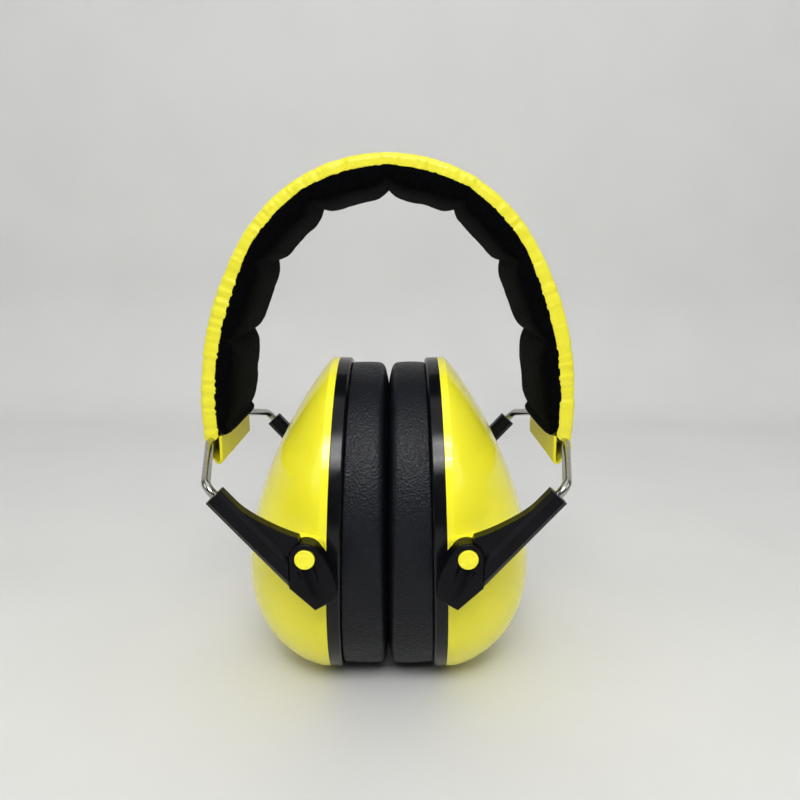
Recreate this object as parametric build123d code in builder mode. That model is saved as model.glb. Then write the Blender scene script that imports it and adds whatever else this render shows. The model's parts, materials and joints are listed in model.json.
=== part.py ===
from build123d import *
from math import asin, cos, pi, radians, sin, sqrt

# Earmuff hearing protector. +Z is up and the cups stand on Z = 0. The wearer's left-right line is X,
# front is -Y. The origin is under the middle of the object. All sizes are in millimetres.

# ---- driving dimensions --------------------------------------------------------------------

# headband: its outer face is a crown arc with a flatter arc down each side
crown_radius = 44.5
crown_centre_z = 102.85
crown_half_angle = 58.0  # degrees from the top to the start of a side arc
band_half_span = 50.5  # X of the outer face where the band is widest
band_half_width = 19.0
pad_pitch = 24.2  # length of one quilted pad along the outer face
pads_each_side = 4
notch_depth = 7.2  # from the outer face to the seams between pads
bulge_depth = 9.6  # from the outer face to the middle of a pad
cover_thickness = 0.6
cover_lip_depth = 3.8  # how far the cover wraps down the band's edges
liner_thickness = 0.8
layer_gap = 0.1  # between one layer of the band and the next
lip_above_wire, liner_above_wire, foam_above_wire = 1.9, 2.6, 4.2  # where each layer ends
strip_depth = 0.85  # from the outer face to the steel strip
strip_thickness = 0.5
strip_width = 24.0

# wire yoke and its eye in the band
wire_radius = 1.15
wire_x, wire_z = 47.6, 72.05
eye_clearance = 0.05
yoke_half_width = 20.9
wire_bend_radius = 3.4
wire_in_arm = 22.0

# arms: each is a tube sloping down towards the cup's pivot
arm_mid_y = 43.4
arm_thickness = 5.1
arm_slope = 47.5  # degrees below the horizontal, towards the centre
arm_width = 5.0
mouth_x, mouth_z = 41.2, 64.95
mouth_to_bend = 3.0
bore_clearance = 0.08
seam_x = 23.6  # where an arm ends and its cap begins
boss_radius = 4.0

# cup pivot
pivot_x, pivot_z = 19.7, 49.45
pin_radius = 1.5
pin_head_radius = 2.5
pin_clearance = 0.06

# ear cups: ovals about a line that leans 1.64 degrees, so that the cushions meet flat
cup_lean = 1.64
cup_x, cup_z = 15.3, 46.2
cup_half_height = 46.1
cup_half_width = 38.0
cup_depth = 25.6
cup_sag = 14.2  # how far the dome's crown lies below the middle of the rim
cup_skirt = 2.0  # the straight part of the shell next to the rim
height_power, width_power, sag_power = 1.17, 1.4, 1.12  # how the dome narrows and sags outwards
wall = 2.2
rim_thickness = 3.5
plate_thickness = 0.9
half_gap = 0.3  # from the centre plane to the face of a cushion
ear_half_height = 29.0
ear_half_width = 18.5


# ---- helpers -------------------------------------------------------------------------------

crown_sin, crown_cos = sin(radians(crown_half_angle)), cos(radians(crown_half_angle))
side_radius = (band_half_span - crown_radius * crown_sin) / (1 - crown_sin)
side_centre_x = (crown_radius - side_radius) * crown_sin
side_centre_z = crown_centre_z + (crown_radius - side_radius) * crown_cos
crown_length = crown_radius * radians(crown_half_angle)


def band_point(run, depth):
    """Point (x, z) at an arc length from the crown along the outer face, and a depth under it."""
    side = 1 if run >= 0 else -1
    if abs(run) <= crown_length:
        angle = abs(run) / crown_radius
        reach, middle_x, middle_z = crown_radius - depth, 0.0, crown_centre_z
    else:
        angle = radians(crown_half_angle) + (abs(run) - crown_length) / side_radius
        reach, middle_x, middle_z = side_radius - depth, side_centre_x, side_centre_z
    return (side * (middle_x + reach * sin(angle)), middle_z + reach * cos(angle))


def run_at_height(z):
    """Arc length at which the outer face comes down to height z."""
    below_centre = asin((side_centre_z - z) / side_radius)
    return crown_length + side_radius * (pi / 2 - radians(crown_half_angle) + below_centre)


def smooth_edge(depth, end_run):
    """Three arcs from one end of the band over the crown to the other, at one depth."""
    stops = [-end_run, -crown_length, crown_length, end_run]
    for start, stop in zip(stops, stops[1:]):
        middle = (start + stop) / 2
        ThreePointArc(band_point(start, depth), band_point(middle, depth), band_point(stop, depth))


def quilted_edge(shallower, end_run):
    """One arc for each pad, from notch to notch, on the band's inner face."""
    seams = [k * pad_pitch for k in range(-pads_each_side, pads_each_side + 1)]
    stops = [-end_run] + seams + [end_run]
    for start, stop in zip(stops, stops[1:]):
        share = (stop - start) / pad_pitch
        middle = notch_depth + share * (bulge_depth - notch_depth)
        ThreePointArc(
            band_point(start, notch_depth - shallower),
            band_point((start + stop) / 2, middle - shallower),
            band_point(stop, notch_depth - shallower),
        )


def band_ends(outer_depth, inner_depth, end_run):
    """The two short lines that close a layer of the band."""
    for run in (-end_run, end_run):
        Line(band_point(run, outer_depth), band_point(run, inner_depth))


def save(builder, name):
    """Labels a finished piece and writes it."""
    builder.part.label = name
    export_step(builder.part, f"parts/{name}.step")


def save_both_sides(builder, name):
    """Writes the right-hand piece and its mirror image on the left."""
    save(builder, f"right_{name}")
    with BuildPart() as left_piece:
        mirror(builder.part, about=Plane.YZ)
    save(left_piece, f"left_{name}")


def save_all_corners(builder, name):
    """Writes a right front piece and its three mirror images."""
    save_both_sides(builder, f"front_{name}")
    with BuildPart() as rear_piece:
        mirror(builder.part, about=Plane.XZ)
    save_both_sides(rear_piece, f"rear_{name}")


# ---- headband ------------------------------------------------------------------------------

eye_radius = wire_radius + eye_clearance
lip_run = run_at_height(wire_z + lip_above_wire)
liner_run = run_at_height(wire_z + liner_above_wire)
foam_run = run_at_height(wire_z + foam_above_wire)
eye_run = run_at_height(wire_z)

# the cover's sheet turns in below the wire, folds and comes up again behind the pads
fold_bottom_z = 65.85
fold_radius = 0.9
turn_in = (0.75, 3.4)  # inward and down, from beside the wire to halfway to the fold
flap_x = 45.0
flap_top_z = 73.45
sheet_depth = cover_thickness / 2

with BuildPart() as band_cover:
    with BuildSketch(Plane.XZ):
        with BuildLine():
            smooth_edge(sheet_depth, eye_run)
            for side in (-1, 1):
                sheet_x, sheet_z = band_point(side * eye_run, sheet_depth)
                fold_x = side * (flap_x + 2 * fold_radius)
                ThreePointArc(
                    (sheet_x, sheet_z),
                    (sheet_x - side * turn_in[0], sheet_z - turn_in[1]),
                    (fold_x, fold_bottom_z + fold_radius),
                )
                ThreePointArc(
                    (fold_x, fold_bottom_z + fold_radius),
                    (side * (flap_x + fold_radius), fold_bottom_z),
                    (side * flap_x, fold_bottom_z + fold_radius),
                )
                Line((side * flap_x, fold_bottom_z + fold_radius), (side * flap_x, flap_top_z))
        trace(line_width=cover_thickness)
    extrude(amount=band_half_width, both=True)
    for lip_start in (-band_half_width, band_half_width - cover_thickness):
        with BuildSketch(Plane.XZ.offset(-lip_start)):
            with BuildLine():
                smooth_edge(0, lip_run)
                smooth_edge(cover_lip_depth, lip_run)
                band_ends(0, cover_lip_depth, lip_run)
            make_face()
        extrude(amount=-cover_thickness)
save(band_cover, "band_cover")

with BuildPart() as spring_band:
    with BuildSketch(Plane.XZ):
        with BuildLine():
            smooth_edge(strip_depth, eye_run)
            smooth_edge(strip_depth + strip_thickness, eye_run)
            band_ends(strip_depth, strip_depth + strip_thickness, eye_run)
        make_face()
        with Locations((-wire_x, wire_z), (wire_x, wire_z)):
            Circle(eye_radius + strip_thickness)
            Circle(eye_radius, mode=Mode.SUBTRACT)
    extrude(amount=strip_width / 2, both=True)
save(spring_band, "spring_band")

foam_top = strip_depth + strip_thickness + layer_gap
foam_inset = liner_thickness + layer_gap

with BuildPart() as band_foam:
    with BuildSketch(Plane.XZ):
        with BuildLine():
            smooth_edge(foam_top, foam_run)
            quilted_edge(foam_inset, foam_run)
            band_ends(foam_top, notch_depth - foam_inset, foam_run)
        make_face()
    extrude(amount=band_half_width - foam_inset, both=True)
save(band_foam, "band_foam")

liner_top = cover_lip_depth + layer_gap
liner_half_width = band_half_width - layer_gap
hollow_run = foam_run + layer_gap

with BuildPart() as band_liner:
    with BuildSketch(Plane.XZ):
        with BuildLine():
            smooth_edge(liner_top, liner_run)
            quilted_edge(0, liner_run)
            band_ends(liner_top, notch_depth, liner_run)
        make_face()
    extrude(amount=liner_half_width, both=True)
    with BuildSketch(Plane.XZ):
        with BuildLine():
            smooth_edge(foam_top, hollow_run)
            quilted_edge(liner_thickness, hollow_run)
            band_ends(foam_top, notch_depth - liner_thickness, hollow_run)
        make_face()
    extrude(amount=liner_half_width - liner_thickness, both=True, mode=Mode.SUBTRACT)
save(band_liner, "band_liner")


# ---- wire yokes ----------------------------------------------------------------------------

arm_along = (-cos(radians(arm_slope)), -sin(radians(arm_slope)))  # x and z of a step down an arm
arm_across = (-arm_along[1], arm_along[0])  # square to it, up and away from the centre


def on_arm(distance, offset=0.0):
    """Point (x, z) at a distance down the arm from its mouth, and an offset towards its lower edge."""
    return (
        mouth_x + arm_along[0] * distance + arm_across[0] * offset,
        mouth_z + arm_along[1] * distance + arm_across[1] * offset,
    )


wire_end_chamfer = 0.3
bend_x, bend_z = on_arm(-mouth_to_bend)
tip_x, tip_z = on_arm(wire_in_arm)

with BuildPart() as wire_yoke:
    with BuildLine() as wire_route:
        FilletPolyline(
            (tip_x, -arm_mid_y, tip_z),
            (bend_x, -arm_mid_y, bend_z),
            (wire_x, -yoke_half_width, wire_z),
            (wire_x, yoke_half_width, wire_z),
            (bend_x, arm_mid_y, bend_z),
            (tip_x, arm_mid_y, tip_z),
            radius=wire_bend_radius,
        )
    with BuildSketch(Plane(origin=wire_route.line @ 0, z_dir=wire_route.line % 0)):
        Circle(wire_radius)
    sweep()
    chamfer(wire_yoke.faces().sort_by(Axis.Z)[:2].edges(), wire_end_chamfer)
save_both_sides(wire_yoke, "wire_yoke")


# ---- arms and their caps -------------------------------------------------------------------

arm_back = arm_mid_y - arm_thickness / 2
arm_face = arm_mid_y + arm_thickness / 2
arm_frame = Plane(
    origin=(mouth_x, -arm_mid_y, mouth_z), x_dir=(0, 1, 0), z_dir=(arm_along[0], 0, arm_along[1])
)
tube_length = (mouth_x - seam_x) / cos(radians(arm_slope)) + arm_width
arm_chamfer = 1.2
web_thickness = 3.2
web_step = 0.3  # how much deeper the web's front face lies than its back one
web_start = 5.0  # from the mouth down the arm to where the web begins
web_edge = ((33.7, 60.75), (31.4, 59.25), (29.0, 57.9), (26.0, 56.4), (21.3, 54.55))
bore_radius = wire_radius + bore_clearance
plug_length = 2.4
plug_radius = bore_radius - 0.05
plug_root = 1.5
head_thickness = 1.0
head_rounding = 0.3
head_clearance = 0.25
counterbore_depth = head_thickness + 0.15
seam_to_mouth = (mouth_x + arm_across[0] * arm_width / 2 - seam_x) / cos(radians(arm_slope))
seam_corner = on_arm(seam_to_mouth, arm_width / 2)
web_top = on_arm(web_start, 0.2 - arm_width / 2)
web_bottom = on_arm(tube_length - arm_width / 2)
tip_corner = (17.4, 36.3)
tip_side = (13.9, 38.3)
thumb_tip = (12.5, 39.3)
thumb_corner = (12.1, 41.2)
thumb_bulge = (13.4, 46.9)
boss_end = 150  # degrees up round the boss to where the thumb's side begins
cap_rounding = 0.6


def on_boss(degrees_up):
    """Point (x, z) on the round boss of a cap."""
    turn = radians(degrees_up)
    return (pivot_x + boss_radius * cos(turn), pivot_z + boss_radius * sin(turn))


with BuildPart() as cap_block:
    with BuildSketch(Plane.XZ.offset(arm_back)):
        with BuildLine():
            ThreePointArc((seam_x, pivot_z), on_boss(80), on_boss(boss_end))
            ThreePointArc(on_boss(boss_end), thumb_bulge, thumb_corner)
            ThreePointArc(thumb_corner, thumb_tip, tip_side)
            Polyline(tip_side, tip_corner, seam_corner, (seam_x, pivot_z))
        make_face()
    extrude(amount=arm_thickness)

with BuildPart() as arm:
    with BuildSketch(arm_frame) as tube_section:
        Rectangle(arm_thickness, arm_width)
        chamfer(tube_section.vertices(), arm_chamfer)
    extrude(amount=tube_length)
    with BuildSketch(Plane.XZ.offset(arm_mid_y - web_thickness / 2 - web_step)):
        with BuildLine():
            Spline(web_top, *web_edge)
            Polyline(web_edge[-1], (pivot_x, pivot_z), web_bottom, on_arm(web_start), web_top)
        make_face()
    extrude(amount=web_thickness)
    with BuildSketch(arm_frame):
        Circle(bore_radius)
    extrude(amount=tube_length, mode=Mode.SUBTRACT)
    with BuildSketch(Plane.XZ.offset(arm_back)):
        with Locations((seam_x, pivot_z)):
            Rectangle(seam_x, pivot_z, align=(Align.MAX, Align.MAX))
    extrude(amount=arm_thickness, mode=Mode.SUBTRACT)
    add(cap_block.part, mode=Mode.SUBTRACT)
save_all_corners(arm, "arm")

pivot_face = Plane(origin=(pivot_x, -arm_face, pivot_z), x_dir=(1, 0, 0), z_dir=(0, 1, 0))
scoop_radius = 2.5
scoop_lift = 0.9  # from the cap's face out to the scoop's axis, where the scoop is deepest
scoop_start = Vector(19.5, -arm_face - scoop_lift, 47.4)
scoop_end = Vector(16.1, -arm_face - scoop_radius, 39.4)

with BuildPart() as arm_cap:
    add(cap_block.part)
    fillet(arm_cap.faces().sort_by(Axis.Y)[0].edges(), cap_rounding)
    with BuildSketch(Plane(origin=scoop_start, z_dir=scoop_end - scoop_start)):
        Circle(scoop_radius)
    extrude(amount=(scoop_end - scoop_start).length, mode=Mode.SUBTRACT)
    with BuildSketch(pivot_face):
        Circle(pin_head_radius + head_clearance)
    extrude(amount=counterbore_depth, mode=Mode.SUBTRACT)
    with BuildSketch(pivot_face):
        Circle(pin_radius + pin_clearance)
    extrude(amount=arm_thickness, mode=Mode.SUBTRACT)
    with BuildSketch(arm_frame.offset(tube_length - arm_width - plug_length)):
        Circle(plug_radius)
    extrude(amount=plug_length + plug_root)
save_all_corners(arm_cap, "arm_cap")

pin_length = 11.0

with BuildPart() as pivot_pin:
    with BuildSketch(pivot_face):
        Circle(pin_head_radius)
    extrude(amount=head_thickness)
    fillet(pivot_pin.faces().sort_by(Axis.Y)[0].edges(), head_rounding)
    with BuildSketch(pivot_face.offset(head_thickness)):
        Circle(pin_radius)
    extrude(amount=pin_length)
save_all_corners(pivot_pin, "pivot_pin")


# ---- ear cups ------------------------------------------------------------------------------

lean = radians(cup_lean)
cup_plane = Plane(origin=(cup_x, 0, cup_z), x_dir=(0, 1, 0), z_dir=(cos(lean), 0, sin(lean)))
dome_steps = (0, 0.13, 0.27, 0.42, 0.57, 0.72, 0.84, 0.93, 0.98, 0.995)


def dome(inset, first_height):
    """Makes the cup's body, a given distance inside its outer face: a straight skirt, then a dome."""
    with BuildSketch(cup_plane.offset(first_height)) as base:
        Ellipse(cup_half_width - inset, cup_half_height - inset)
    extrude(base.sketch, amount=cup_skirt - first_height)
    depth = cup_depth - inset - cup_skirt
    sections = []
    for step in dome_steps:
        half_height = (cup_half_height - inset) * sqrt(1 - step**height_power)
        half_width = (cup_half_width - inset) * sqrt(1 - step**width_power)
        with BuildSketch(cup_plane.offset(cup_skirt + step * depth)) as section:
            with Locations((0, -cup_sag * step**sag_power)):
                Ellipse(half_width, half_height)
        sections.append(section.sketch)
    loft(sections)


pad_root_y, pad_face_y = 30.0, 39.9
pad_low_z, pad_high_z = 42.25, 52.45
pad_width = 8.6
pad_rounding = 2.0
pad_x = (cup_x + seam_x) / 2 + 0.4
press_gap = 0.02

with BuildPart() as cup_cavity:
    dome(wall, 0)

with BuildPart() as cup_shell:
    dome(0, 0)
    for side in (-1, 1):
        with BuildSketch(Plane.XZ.offset(side * pad_root_y)):
            with Locations((pad_x, (pad_low_z + pad_high_z) / 2)):
                RectangleRounded(pad_width, pad_high_z - pad_low_z, pad_rounding)
        extrude(amount=side * (pad_face_y - pad_root_y))
    split(bisect_by=cup_plane, keep=Keep.TOP)
    add(cup_cavity.part, mode=Mode.SUBTRACT)
    with BuildSketch(Plane.XZ):
        with Locations((pivot_x, pivot_z)):
            Circle(pin_radius + press_gap)
    extrude(amount=arm_mid_y, both=True, mode=Mode.SUBTRACT)
save_both_sides(cup_shell, "cup_shell")

rim_lip = 3.0  # from the rim's opening out to the cushion's
rim_chamfer = 0.5
spigot_outset, spigot_inset = wall + 0.4, wall + 1.7  # the ring that centres the shell on the rim
spigot_height = 1.2

with BuildPart() as cup_rim:
    with BuildSketch(cup_plane):
        Ellipse(cup_half_width, cup_half_height)
        Ellipse(ear_half_width + rim_lip, ear_half_height + rim_lip, mode=Mode.SUBTRACT)
    extrude(amount=-rim_thickness)
    chamfer(cup_rim.faces().sort_by(Axis.X)[0].edges().sort_by(SortBy.LENGTH)[-1], rim_chamfer)
    with BuildSketch(cup_plane):
        Ellipse(cup_half_width - spigot_outset, cup_half_height - spigot_outset)
        Ellipse(cup_half_width - spigot_inset, cup_half_height - spigot_inset, mode=Mode.SUBTRACT)
    extrude(amount=spigot_height)
save_both_sides(cup_rim, "cup_rim")

plate_gap = 0.05
plate_inset = 3.6
plate_lip = 2.0

with BuildPart() as cushion_plate:
    with BuildSketch(cup_plane.offset(-rim_thickness - plate_gap)):
        Ellipse(cup_half_width - plate_inset, cup_half_height - plate_inset)
        Ellipse(ear_half_width + plate_lip, ear_half_height + plate_lip, mode=Mode.SUBTRACT)
    extrude(amount=-plate_thickness)
save_both_sides(cushion_plate, "cushion_plate")

cushion_base = rim_thickness + 2 * plate_gap + plate_thickness
cushion_inset = 1.0  # from the rim's edge in to the cushion's
cushion_rounding = 3.2
skin, skin_gap = 0.7, 0.1


def cushion_ring(inset):
    """Ring from the plate to the centre plane, a given distance inside the cushion's outer face."""
    with BuildPart() as ring:
        with BuildSketch(cup_plane.offset(-cushion_base - inset)):
            Ellipse(cup_half_width - cushion_inset - inset, cup_half_height - cushion_inset - inset)
            Ellipse(ear_half_width + inset, ear_half_height + inset, mode=Mode.SUBTRACT)
        extrude(amount=-2 * cup_x)
        split(bisect_by=Plane.YZ.offset(half_gap + inset), keep=Keep.TOP)
        fillet(ring.faces().sort_by(Axis.X)[0].edges(), cushion_rounding - inset)
    return ring.part


cushion_inside = cushion_ring(skin)

with BuildPart() as cushion_cover:
    add(cushion_ring(0))
    add(cushion_inside, mode=Mode.SUBTRACT)
save_both_sides(cushion_cover, "cushion_cover")

with BuildPart() as cushion_foam:
    add(cushion_ring(skin + skin_gap))
save_both_sides(cushion_foam, "cushion_foam")

foam_clearance = 5.0
foam_start = 1.5

with BuildPart() as cup_foam:
    dome(wall + foam_clearance, foam_start)
save_both_sides(cup_foam, "cup_foam")
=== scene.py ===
import json
from math import asin, cos, pi, radians, sin, sqrt

import bmesh
import bpy
import numpy as np
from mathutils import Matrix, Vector, noise


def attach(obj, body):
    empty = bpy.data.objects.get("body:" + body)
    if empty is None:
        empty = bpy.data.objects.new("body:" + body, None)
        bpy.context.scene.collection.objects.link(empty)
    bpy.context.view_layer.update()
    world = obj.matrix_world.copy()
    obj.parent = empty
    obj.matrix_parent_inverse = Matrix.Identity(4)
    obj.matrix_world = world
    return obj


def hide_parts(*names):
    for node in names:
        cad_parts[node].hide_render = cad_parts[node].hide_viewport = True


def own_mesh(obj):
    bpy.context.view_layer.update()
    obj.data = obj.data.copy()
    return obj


# Earmuff hearing protector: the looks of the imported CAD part. Blender works in metres; the band's and the
# cups' own sizes are in millimetres here, as they are in the CAD source, and are scaled as meshes are made.

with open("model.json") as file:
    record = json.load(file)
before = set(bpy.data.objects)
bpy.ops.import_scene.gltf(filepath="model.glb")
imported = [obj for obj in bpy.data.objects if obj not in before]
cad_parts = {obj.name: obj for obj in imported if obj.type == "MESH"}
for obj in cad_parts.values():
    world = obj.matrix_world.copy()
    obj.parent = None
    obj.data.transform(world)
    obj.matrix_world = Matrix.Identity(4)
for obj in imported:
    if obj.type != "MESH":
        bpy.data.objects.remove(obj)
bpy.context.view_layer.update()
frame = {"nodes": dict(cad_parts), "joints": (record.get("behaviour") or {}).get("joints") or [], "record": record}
joints = {joint["name"]: joint for joint in frame["joints"]}
MM = 0.001
SIDES = {"left": -1, "right": 1}


# ---- materials -----------------------------------------------------------------------------


class Finish:
    """A procedural material: a Principled shader, with short calls for what feeds it."""

    def __init__(self, name, **settings):
        self.material = bpy.data.materials.new(name)
        self.material.use_nodes = True
        self.tree = self.material.node_tree
        self.shader = self.tree.nodes["Principled BSDF"]
        self.place = self.node("ShaderNodeTexCoord").outputs["Object"]
        self.relief = None
        for socket, value in settings.items():
            self.shader.inputs[socket.replace("_", " ")].default_value = value

    def node(self, kind, inputs=None, **properties):
        made = self.tree.nodes.new(kind)
        for key, value in properties.items():
            setattr(made, key, value)
        for key, value in (inputs or {}).items():
            if isinstance(value, bpy.types.NodeSocket):
                self.tree.links.new(value, made.inputs[key])
            else:
                made.inputs[key].default_value = value
        return made

    def stretched(self, x, y, z):
        """The object's own coordinates, scaled by axis."""
        return self.node("ShaderNodeMapping", {"Vector": self.place, "Scale": (x, y, z)}).outputs[0]

    def clouds(self, size, detail=3.0, rough=0.5, place=None):
        """Soft noise whose blotches are about that size in millimetres."""
        inputs = {"Vector": place or self.place, "Scale": 1 / (size * MM)}
        inputs.update(Detail=detail, Roughness=rough)
        return self.node("ShaderNodeTexNoise", inputs).outputs["Fac"]

    def cells(self, size, feature="F1"):
        """Distance inside cells about that size in millimetres."""
        inputs = {"Vector": self.place, "Scale": 1 / (size * MM)}
        return self.node("ShaderNodeTexVoronoi", inputs, feature=feature).outputs["Distance"]

    def between(self, value, low, high, out_low=0.0, out_high=1.0):
        inputs = {0: value, 1: low, 2: high, 3: out_low, 4: out_high}
        return self.node("ShaderNodeMapRange", inputs).outputs[0]

    def colour(self, value, first, second, low=0.35, high=0.65):
        """Colour that goes from one to the other as the value goes from low to high."""
        share = self.between(value, low, high)
        mixed = self.node("ShaderNodeMix", {0: share, 6: first, 7: second}, data_type="RGBA")
        self.tree.links.new(mixed.outputs[2], self.shader.inputs["Base Color"])

    def roughness(self, value, smooth, rough):
        self.tree.links.new(self.between(value, 0.3, 0.7, smooth, rough), self.shader.inputs["Roughness"])

    def rounded(self, radius):
        """Softens the look of sharp edges by that radius in millimetres."""
        self.relief = self.node("ShaderNodeBevel", {"Radius": radius * MM}, samples=6).outputs[0]
        self.tree.links.new(self.relief, self.shader.inputs["Normal"])

    def bump(self, value, height):
        """Adds relief of that height in millimetres."""
        inputs = {"Height": value, "Distance": height * MM, "Strength": 1.0}
        if self.relief:
            inputs["Normal"] = self.relief
        self.relief = self.node("ShaderNodeBump", inputs).outputs[0]
        self.tree.links.new(self.relief, self.shader.inputs["Normal"])


def make_finishes():
    """One material for each of the record's slots."""
    made = {}

    cover = Finish("yellow_cover", IOR=1.48)
    cover.colour(cover.clouds(9, 4), (0.77, 0.71, 0.022, 1), (0.80, 0.74, 0.030, 1))
    cover.roughness(cover.clouds(3), 0.34, 0.48)
    cover.bump(cover.cells(0.75), 0.030)
    cover.bump(cover.clouds(2.6, 4), 0.22)
    made["yellow_cover"] = cover

    fleece = Finish("black_fleece", Sheen_Weight=0.012, Sheen_Roughness=0.5, Specular_IOR_Level=0.03)
    fleece.colour(fleece.clouds(1.2, 5, 0.7), (0.0004, 0.0005, 0.0007, 1), (0.0016, 0.0018, 0.0024, 1))
    fleece.roughness(fleece.clouds(1.0), 0.85, 1.0)
    fleece.bump(fleece.clouds(0.45, 4, 0.7), 0.30)
    fleece.bump(fleece.clouds(2.4, 3), 0.35)
    made["black_fleece"] = fleece

    foam = Finish("soft_foam", Roughness=0.95, Specular_IOR_Level=0.2)
    foam.colour(foam.cells(0.8), (0.02, 0.02, 0.022, 1), (0.06, 0.06, 0.065, 1), 0.1, 0.6)
    foam.bump(foam.cells(0.7), 0.25)
    made["soft_foam"] = foam

    strip = Finish("spring_steel", Metallic=1.0)
    brushed = strip.clouds(0.3, 3, place=strip.stretched(0.05, 1, 0.05))
    strip.colour(brushed, (0.40, 0.40, 0.42, 1), (0.55, 0.55, 0.57, 1))
    strip.roughness(brushed, 0.28, 0.42)
    made["spring_steel"] = strip

    wire = Finish("steel_wire", Metallic=1.0)
    drawn = wire.clouds(0.35, 3, place=wire.stretched(1, 0.25, 0.25))
    wire.colour(drawn, (0.34, 0.335, 0.31, 1), (0.50, 0.485, 0.45, 1))
    wire.roughness(drawn, 0.16, 0.27)
    wire.bump(drawn, 0.006)
    made["steel_wire"] = wire

    arm = Finish("black_arm", IOR=1.45, Specular_IOR_Level=0.16)
    arm.colour(arm.clouds(6, 3), (0.0012, 0.0014, 0.0022, 1), (0.0024, 0.0027, 0.0040, 1))
    arm.roughness(arm.clouds(1.4), 0.30, 0.42)
    arm.rounded(0.28)
    arm.bump(arm.clouds(0.35, 3), 0.010)
    made["black_arm"] = arm

    shell = Finish("yellow_shell", IOR=1.45, Specular_IOR_Level=0.35, Coat_Weight=0.08, Coat_Roughness=0.04)
    shell.colour(shell.clouds(26, 2), (0.90, 0.83, 0.030, 1), (0.93, 0.87, 0.040, 1))
    shell.roughness(shell.clouds(5, 3), 0.10, 0.17)
    shell.rounded(0.3)
    shell.bump(shell.clouds(7, 2), 0.012)
    made["yellow_shell"] = shell

    pin = Finish("yellow_pin", IOR=1.48)
    pin.colour(pin.clouds(2.5, 3), (0.86, 0.79, 0.020, 1), (0.93, 0.87, 0.035, 1))
    pin.roughness(pin.clouds(0.8), 0.38, 0.50)
    pin.rounded(0.2)
    pin.bump(pin.clouds(0.3, 3), 0.012)
    made["yellow_pin"] = pin

    rim = Finish("black_gloss", IOR=1.45, Specular_IOR_Level=0.26)
    rim.colour(rim.clouds(10, 3), (0.0030, 0.0032, 0.0042, 1), (0.0055, 0.0058, 0.0072, 1))
    rim.roughness(rim.clouds(2.2), 0.14, 0.22)
    rim.rounded(0.3)
    rim.bump(rim.clouds(3, 2), 0.008)
    made["black_gloss"] = rim

    leather = Finish("black_leather", IOR=1.45, Specular_IOR_Level=0.28)
    leather.colour(leather.clouds(5, 4), (0.0022, 0.0028, 0.0056, 1), (0.0040, 0.0048, 0.0084, 1))
    leather.roughness(leather.clouds(1.1), 0.40, 0.54)
    leather.bump(leather.cells(0.55, "SMOOTH_F1"), 0.16)
    leather.bump(leather.clouds(0.5, 3), 0.040)
    made["black_leather"] = leather
    return made


# ---- meshes --------------------------------------------------------------------------------


def smooth(value, start, stop):
    """0 before start and 1 after stop, smoothly between them."""
    share = np.clip((np.asarray(value, float) - start) / (stop - start), 0, 1)
    return share * share * (3 - 2 * share)


def wander(places, size, seed):
    """Smooth noise from about -1 to 1 along a line of places, the same on every run."""
    return np.array([noise.noise(Vector((place / size, seed, 0.37))) for place in places]) * 1.6


def mesh_object(name, points, faces, finish):
    """A smooth-shaded object from points in millimetres."""
    mesh = bpy.data.meshes.new(name)
    mesh.from_pydata((np.asarray(points) * MM).tolist(), [], faces)
    tidy = bmesh.new()
    tidy.from_mesh(mesh)
    bmesh.ops.recalc_face_normals(tidy, faces=tidy.faces)
    tidy.to_mesh(mesh)
    tidy.free()
    mesh.shade_smooth()
    mesh.materials.append(finish.material)
    made = bpy.data.objects.new(name, mesh)
    bpy.context.scene.collection.objects.link(made)
    return made


def ring_faces(rings, size, closed):
    """Faces of a tube of rings of points, with its two ends filled unless it closes on itself."""
    faces = []
    for i in range(rings if closed else rings - 1):
        here, there = i * size, (i + 1) % rings * size
        for k in range(size):
            m = (k + 1) % size
            faces.append((here + k, here + m, there + m, there + k))
    if not closed:
        faces.append(tuple(range(size)))
        faces.append(tuple(range((rings - 1) * size, rings * size)))
    return faces


# ---- headband ------------------------------------------------------------------------------

crown_radius = 44.5
crown_centre_z = 102.85
crown_angle = radians(58)
band_half_span = 50.5
half_width = 19.0
pad_pitch = 24.2
notch_depth = 7.2
bulge_depth = 9.6
sheet_thickness = 0.6
side_radius = (band_half_span - crown_radius * sin(crown_angle)) / (1 - sin(crown_angle))
side_centre_x = (crown_radius - side_radius) * sin(crown_angle)
side_centre_z = crown_centre_z + (crown_radius - side_radius) * cos(crown_angle)
crown_length = crown_radius * crown_angle
swing = Vector(joints["right_yoke_swing"]["pos_m"]) / MM


def run_at_height(z):
    """Arc length from the crown at which the band's outer face comes down to height z."""
    below = asin((side_centre_z - z) / side_radius)
    return crown_length + side_radius * (pi / 2 - crown_angle + below)


def band_frame(runs):
    """Points (x, z) of the band's outer face at arc lengths from the crown, and its outward normals."""
    runs = np.asarray(runs, float)
    along = np.abs(runs)
    crown = along <= crown_length
    angle = np.where(crown, along / crown_radius, crown_angle + (along - crown_length) / side_radius)
    reach = np.where(crown, crown_radius, side_radius)
    normals = np.stack([np.sign(runs + 1e-9) * np.sin(angle), np.cos(angle)], axis=-1)
    middle_x = np.where(crown, 0.0, side_centre_x) * np.sign(runs + 1e-9)
    middle_z = np.where(crown, crown_centre_z, side_centre_z)
    return np.stack([middle_x, middle_z], axis=-1) + reach[..., None] * normals, normals


def pad_share(runs):
    """How far along its pad each place is, from 0 at one seam to 1 at the next."""
    return (np.asarray(runs, float) / pad_pitch) % 1.0


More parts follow.
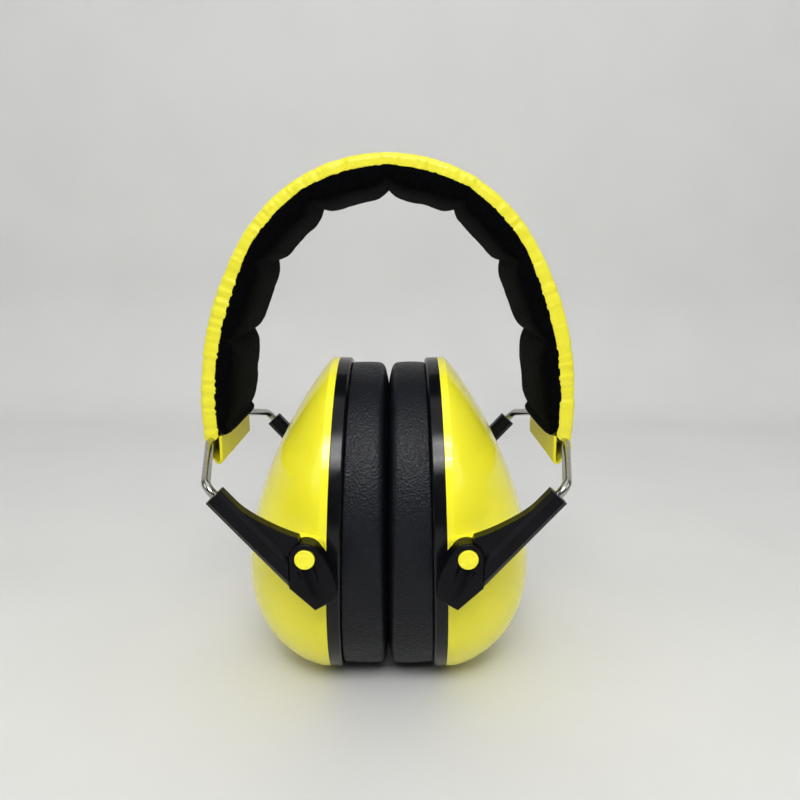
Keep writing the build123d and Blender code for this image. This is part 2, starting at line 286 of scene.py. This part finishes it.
def arc_through(first, middle, last, count):
    """Points on the circle through three points, without the first."""
    a, b, c = (complex(*p) for p in (first, middle, last))
    w = (c - a) / (b - a)
    centre = (b - a) * (w - abs(w) ** 2) / (2j * w.imag) + a
    start, sweep = a - centre, np.angle((c - centre) / (a - centre))
    turns = start * np.exp(1j * sweep * np.linspace(0, 1, count + 1)[1:]) + centre
    return np.stack([turns.real, turns.imag], axis=-1)


def evenly(points, step):
    """The same line with points a step apart, and its length at each."""
    gaps = np.linalg.norm(np.diff(points, axis=0), axis=1)
    along = np.concatenate([[0], np.cumsum(gaps)])
    stops = np.linspace(0, along[-1], int(along[-1] / step) + 1)
    return np.stack([np.interp(stops, along, points[:, k]) for k in (0, 1)], axis=-1), stops


fold_bottom_z = 65.85
fold_radius = 0.9
flap_x = 45.0
flap_top_z = 73.45
turn_in_x, turn_in_drop = 0.75, 3.4  # a place on the way from the eye to the fold
eye_run = run_at_height(swing.z)
crown_lip = 3.0
side_lip_extra = 0.95
lip_grows_from, lip_grows_to = 44, 62  # arc lengths from the crown
pad_lip_extra = 0.35
eye_lip = 0.66
cover_corner = 1.5
fine_pucker, coarse_pucker, slow_wave = 1.15, 2.6, 11.0  # lengths of the cover's creases along the band


def cover_line(step):
    """The cover sheet's middle line: from one flap's top, round its fold, over the crown and down again."""
    down, normals = band_frame(np.linspace(0, eye_run, 400))
    down = down - normals * sheet_thickness / 2
    start = down[-1]
    fold_start = (flap_x + 2 * fold_radius, fold_bottom_z + fold_radius)
    turn_in = arc_through(start, (start[0] - turn_in_x, start[1] - turn_in_drop), fold_start, 24)
    turns = np.linspace(0, -pi, 25)[1:]
    fold = np.stack([np.cos(turns), np.sin(turns)], axis=-1) * fold_radius
    fold += (flap_x + fold_radius, fold_bottom_z + fold_radius)
    half, stops = evenly(np.concatenate([down, turn_in, fold, [(flap_x, flap_top_z)]]), step)
    mirrored = half[:0:-1] * (-1, 1)
    return np.concatenate([mirrored, half]), np.concatenate([-stops[:0:-1], stops])


def lip_depth(runs):
    """How far the cover wraps down the band's edges: less over the crown and at each seam between pads."""
    along = np.abs(runs)
    between_seams = 1 - (2 * pad_share(runs) - 1) ** 2
    depth = crown_lip + side_lip_extra * smooth(along, lip_grows_from, lip_grows_to)
    depth += pad_lip_extra * between_seams
    return depth + (eye_lip - depth) * smooth(along, eye_run - 1.5, eye_run + 0.8)


def make_cover(finish):
    """The yellow sheet over the band, with its puckered lips, and its flat width and length in metres."""
    line, runs = cover_line(0.42)
    ahead = np.gradient(line, axis=0)
    ahead /= np.linalg.norm(ahead, axis=1)[:, None]
    outward = np.stack([-ahead[:, 1], ahead[:, 0]], axis=-1)
    depth = lip_depth(runs)
    corner = np.minimum(cover_corner, depth * 0.94)
    on_band = 1 - smooth(np.abs(runs), eye_run - 1.0, eye_run + 2.0)
    fine, coarse = wander(runs, fine_pucker, 1.0), wander(runs, coarse_pucker, 7.0)
    fine_back, coarse_back = wander(runs, fine_pucker, 21.0), wander(runs, coarse_pucker, 29.0)
    slow = wander(runs, slow_wave, 40.0)
    lip_count, corner_count, face_count = 6, 7, 20
    rings = []
    for i in range(len(runs)):
        ring = []
        for inset in (0.0, sheet_thickness):
            bend = corner[i] - inset
            side = []
            for share in np.linspace(0, 1, lip_count + 1)[:-1]:
                side.append((half_width - inset, depth[i] + (corner[i] - depth[i]) * share))
            for turn in np.linspace(0, pi / 2, corner_count):
                side.append((half_width - corner[i] + bend * cos(turn), corner[i] - bend * sin(turn)))
            flat = half_width - corner[i]
            across = [(y, inset) for y in np.linspace(flat, -flat, face_count)]
            back = [(-y, d) for y, d in side[::-1]]
            profile = side + across[1:-1] + back
            ring += profile if inset == 0 else profile[::-1]
        ring = np.array(ring)
        front = ring[:, 0] < 0
        near_seam = smooth(np.abs(ring[:, 0]) + 0.8 * ring[:, 1], half_width - 7.0, half_width + 2.4)
        pucker = np.where(front, fine[i] + 0.5 * coarse[i], fine_back[i] + 0.5 * coarse_back[i])
        lift = on_band[i] * (0.13 * pucker * near_seam**1.5 + 0.07 * slow[i])
        crowned = 0.35 * on_band[i] * (ring[:, 0] / half_width) ** 4
        sink = ring[:, 1] + crowned - lift - sheet_thickness / 2 + 0.06
        bulge = 0.16 * on_band[i] * pucker * (np.abs(ring[:, 0]) > half_width - 1.6) * np.sign(ring[:, 0])
        place = line[i] - outward[i] * sink[:, None]
        rings.append(np.stack([place[:, 0], ring[:, 0] + bulge, place[:, 1]], axis=-1))
    rings = np.array(rings)
    faces = ring_faces(len(rings), rings.shape[1], closed=False)
    made = mesh_object("headband_cover", rings.reshape(-1, 3), faces[:-2], finish)
    close_ends(made, rings.shape[1], len(rings))
    flat_length = float(np.linalg.norm(np.diff(line, axis=0), axis=1).sum()) * MM
    flat_width = 2 * (half_width + float(np.median(depth))) * MM
    return made, (flat_width, flat_length)


def close_ends(made, size, rings):
    """Joins the outer and inner faces of a folded-over sheet at its first and last rings."""
    mesh = bmesh.new()
    mesh.from_mesh(made.data)
    mesh.verts.ensure_lookup_table()
    for start in (0, (rings - 1) * size):
        for k in range(size // 2 - 1):
            corners = (k, k + 1, size - 2 - k, size - 1 - k)
            mesh.faces.new([mesh.verts[start + c] for c in corners])
    bmesh.ops.recalc_face_normals(mesh, faces=mesh.faces)
    mesh.to_mesh(made.data)
    mesh.free()
    made.data.shade_smooth()


padding_ends_above_eye = 2.6
padding_step = 0.45
padding_outer = 1.9  # depth of the padding's outer side below the band's outer face
padding_squareness = 5.0  # power of the superellipse across a pad
plump_power = 4.6  # how suddenly a pad falls in to its seams
padding_end_radius = 1.2
nap_height = 0.10


def make_padding(finish):
    """The quilted fleece padding: plump pads between sewn seams, tucked under the cover's lips."""
    end_run = run_at_height(swing.z + padding_ends_above_eye)
    runs = np.linspace(-end_run, end_run, int(2 * end_run / padding_step))
    line, outward = band_frame(runs)
    share = pad_share(runs)
    plump = 1 - np.abs(2 * share - 1) ** plump_power
    last_seam = 4 * pad_pitch
    tail = np.abs(runs) > last_seam
    tail_share = (np.abs(runs) - last_seam) / (end_run - last_seam)
    plump = np.where(tail, 0.35 * np.sin(pi * np.clip(tail_share, 0, 1)), plump)
    lumps = wander(runs, 5.5, 60.0)
    lip = lip_depth(np.clip(runs, -eye_run + 2, eye_run - 2))
    size = 132
    turns = np.linspace(0, 2 * pi, size, endpoint=False)
    c, s = np.cos(turns), np.sin(turns)
    rings = []
    for i, run in enumerate(runs):
        inner = notch_depth + (bulge_depth - notch_depth) * plump[i] + 0.22 * lumps[i] * plump[i]
        half_depth, middle = (inner - padding_outer) / 2, (inner + padding_outer) / 2
        wide = half_width + 0.25 * plump[i] - 0.15
        y = wide * np.sign(c) * np.abs(c) ** (2 / padding_squareness)
        depth = middle + half_depth * np.sign(s) * np.abs(s) ** (2 / padding_squareness)
        tucked = 1 - smooth(depth, lip[i] - 0.9, lip[i] + 0.15)
        y *= 1 - 0.07 * tucked
        crown = 0.55 * plump[i] * (1 - (y / half_width) ** 2) * smooth(depth, middle, inner)
        ring = np.stack([y, depth + crown], axis=-1)
        shift = 1.7 * smooth(ring[:, 1], 4.4, 6.2) * smooth(abs(run), end_run - 7, end_run)
        place = line[i] - outward[i] * ring[:, 1:]
        place[:, 1] -= shift
        rings.append(np.stack([place[:, 0], ring[:, 0], place[:, 1]], axis=-1))
    rings = np.array(rings)
    rings = rounded_ends(rings, padding_end_radius)
    points = roughened(rings.reshape(-1, 3), rings.shape, nap_height)
    return mesh_object("headband_padding", points, ring_faces(len(rings), size, closed=False), finish)


def rounded_ends(rings, radius):
    """Draws the last rings of a tube in towards its middle, so that its ends are rounded."""
    gaps = np.linalg.norm(np.diff(rings.mean(axis=1), axis=0), axis=1)
    along = np.concatenate([[0], np.cumsum(gaps)])
    for i, place in enumerate(along):
        from_end = min(place, along[-1] - place)
        if from_end < radius:
            inset = radius * (1 - sqrt(1 - (1 - from_end / radius) ** 2))
            middle = rings[i].mean(axis=0)
            arm = rings[i] - middle
            length = np.linalg.norm(arm, axis=1)[:, None]
            rings[i] = middle + arm * np.maximum(0.05, 1 - inset / length)
    return rings


def roughened(points, shape, height):
    """Moves points along their normals by fine noise, for a napped surface."""
    grid = points.reshape(shape)
    along = np.gradient(grid, axis=0)
    round_it = (np.roll(grid, -1, axis=1) - np.roll(grid, 1, axis=1)) / 2
    normals = np.cross(along, round_it).reshape(-1, 3)
    normals /= np.maximum(np.linalg.norm(normals, axis=1), 1e-9)[:, None]
    nap = np.array([noise.noise(Vector(p) / 0.8) + 0.6 * noise.noise(Vector(p) / 2.1) for p in points])
    return points + normals * (height * nap)[:, None]


# ---- ear cups ------------------------------------------------------------------------------

cup_lean = radians(1.64)
cup_x, cup_z = 15.3, 46.2
rim_half_height, rim_half_width = 46.1, 38.0
rim_thickness = 3.5
ear_half_height, ear_half_width = 29.0, 18.5


def cup_points(side, height, across, up):
    """Row-frame points of places on a cup: height out from its rim plane, across (Y) and up it."""
    x = cup_x + height * cos(cup_lean) - up * sin(cup_lean)
    z = cup_z + height * sin(cup_lean) + up * cos(cup_lean)
    return np.stack([side * x, across, z], axis=-1)


cushion_rings = 420
rim_clearance = 0.05
cushion_inset = 1.4
cushion_touch = 0.03  # from the centre plane to where the two cushions meet
edge_recess, recess_width = 0.8, 6.0  # how far a cushion's face falls back towards its outer edge
# outer or inner, base or face, and how far the rounding reaches along the side and along the face
cushion_corners = ((1, 0, (0.5, 0.5)), (1, 1, (2.2, 2.2)), (0, 1, (2.9, 2.9)), (0, 0, (0.5, 0.5)))


def cushion_section(width, depth):
    """Cross-section of a cushion in millimetres from its inner base corner: flat sides, rounded corners."""
    arcs = []
    for number, (across, through, reach) in enumerate(cushion_corners):
        inwards = np.array([1 - 2 * across, 1 - 2 * through])
        middle = np.array([across * width, through * depth]) + inwards * reach
        turns = np.linspace(number - 1, number, 11) * pi / 2
        arcs.append(middle + np.stack([np.cos(turns), np.sin(turns)], axis=-1) * reach)
    places = []
    for arc, after in zip(arcs, arcs[1:] + arcs[:1]):
        straight = np.linspace(arc[-1], after[0], 13)[1:-1]
        places += [arc, straight]
    return np.concatenate(places)


def make_cushion(side_name, finish):
    """The padded ring against the ear: a drum with rounded corners and slightly crowned, creased walls."""
    side = SIDES[side_name]
    turns = np.linspace(0, 2 * pi, cushion_rings, endpoint=False)
    start = rim_thickness + rim_clearance
    outer_width = rim_half_width - cushion_inset
    outer_height = rim_half_height - cushion_inset
    crease = wander(np.cos(turns) * 40, 7, 3.0 + side) + wander(np.sin(turns) * 40, 8, 9.0 + side)
    rings = []
    for turn, fold in zip(turns, crease):
        inner = np.array([ear_half_width * sin(turn), ear_half_height * cos(turn)])
        outer = np.array([outer_width * sin(turn), outer_height * cos(turn)])
        width = np.linalg.norm(outer - inner)
        depth = (cup_x - cushion_touch - outer[1] * sin(cup_lean)) / cos(cup_lean) - start
        section = cushion_section(width, depth)
        through = section[:, 1] / depth
        recess = edge_recess * (1 - smooth(width - section[:, 0], 1.0, recess_width)) * through**3
        section[:, 0] += (0.30 + 0.05 * fold) * np.sin(pi * through) * (2 * section[:, 0] / width - 1)
        across, up = (inner + (outer - inner) / width * section[:, :1]).T
        face = (cup_x - cushion_touch - up * sin(cup_lean)) / cos(cup_lean)
        rings.append(cup_points(side, recess - (start + (face - start) * through), across, up))
    rings = np.array(rings)
    rings[:, :, 0] = side * np.maximum(side * rings[:, :, 0], cushion_touch)
    faces = ring_faces(len(rings), rings.shape[1], closed=True)
    return mesh_object(f"{side_name}_cushion", rings.reshape(-1, 3), faces, finish)


# ---- the object ----------------------------------------------------------------------------

finishes = make_finishes()
for row in frame["record"]["subparts"]:
    piece = frame["nodes"][row["node"]]
    piece.data.materials.clear()
    piece.data.materials.append(finishes[row["material_slot"]].material)

cover, cover_flat = make_cover(finishes["yellow_cover"])
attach(cover, "headband")
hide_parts("band_cover")

padding = make_padding(finishes["black_fleece"])
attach(padding, "headband")
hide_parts("band_liner", "band_foam")

for side_name, side in SIDES.items():
    cushion = make_cushion(side_name, finishes["black_leather"])
    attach(cushion, f"{side_name}_cup")
    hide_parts(f"{side_name}_cushion_cover", f"{side_name}_cushion_foam")
    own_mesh(cushion)


# ---- floor, light and camera ---------------------------------------------------------------


def make_stage():
    """A pale floor that curves up into a backdrop."""
    cove, wall_y, half_span, top, front = 0.10, 0.42, 1.6, 1.4, -1.4
    profile = [(y, 0.0) for y in np.linspace(front, wall_y - cove, 12)]
    for turn in np.linspace(0, pi / 2, 25)[1:]:
        profile.append((wall_y - cove + cove * sin(turn), cove - cove * cos(turn)))
    profile += [(wall_y, z) for z in np.linspace(cove, top, 8)[1:]]
    points = [(x / MM, y / MM, z / MM) for x in (-half_span, half_span) for y, z in profile]
    count = len(profile)
    faces = [(i, i + 1, count + i + 1, count + i) for i in range(count - 1)]
    paper = Finish("paper", Roughness=0.7, Specular_IOR_Level=0.25)
    paper.colour(paper.clouds(60, 3), (0.68, 0.68, 0.668, 1), (0.70, 0.70, 0.688, 1))
    paper.bump(paper.clouds(1.5, 3), 0.02)
    backdrop = mesh_object("backdrop", points, faces, paper)


def soft_light(name, place, target, size, power):
    """A rectangular studio lamp."""
    data = bpy.data.lights.new(name, "AREA")
    data.shape = "RECTANGLE"
    data.size, data.size_y = size
    data.energy = power
    lamp = bpy.data.objects.new(name, data)
    bpy.context.scene.collection.objects.link(lamp)
    lamp.location = place
    lamp.visible_camera = False
    lamp.rotation_euler = (Vector(target) - Vector(place)).to_track_quat("-Z", "Y").to_euler()


def ring_light(place, target, outer, inner, strength):
    """A round studio lamp with an open middle."""
    count = 64
    turns = np.linspace(0, 2 * pi, count, endpoint=False)
    points = [(r * cos(t) / MM, r * sin(t) / MM, 0) for r in (outer, inner) for t in turns]
    faces = [(k, (k + 1) % count, count + (k + 1) % count, count + k) for k in range(count)]
    glow = Finish("lamp_glow", Emission_Strength=strength, Emission_Color=(1, 1, 1, 1))
    lamp = mesh_object("ring_lamp", points, faces, glow)
    lamp.location = place
    lamp.rotation_euler = (Vector(target) - Vector(place)).to_track_quat("-Z", "Y").to_euler()
    lamp.visible_camera = False


make_stage()
middle = (0, 0, 0.08)
lamp_place = (0.0, -0.62, 0.66)
ring_light(lamp_place, middle, 0.10, 0.082, 40.0)
soft_light("front_light", lamp_place, middle, (0.45, 0.35), 4.6)
soft_light("top_light", (0.0, -0.10, 1.10), middle, (1.2, 1.0), 4.0)
for side_name, side in SIDES.items():
    soft_light(f"{side_name}_light", (side * 1.0, -0.45, 0.65), middle, (0.7, 0.7), 2.4)

world = bpy.data.worlds.new("studio")
world.use_nodes = True
world.node_tree.nodes["Background"].inputs["Color"].default_value = (0.93, 0.96, 1.0, 1)
world.node_tree.nodes["Background"].inputs["Strength"].default_value = 0.03
bpy.context.scene.world = world
bpy.context.scene.view_settings.view_transform = "Standard"

camera_pitch = 0.189  # radians below the horizon
camera = bpy.data.objects.new("camera", bpy.data.cameras.new("camera"))
bpy.context.scene.collection.objects.link(camera)
camera.data.lens = 33.75
camera.data.sensor_width = 36
camera.data.clip_start = 0.01
camera.location = (0.00327, -0.2155, 0.12109)
camera.rotation_euler = (pi / 2 - camera_pitch, 0, 0)
bpy.context.scene.camera = camera
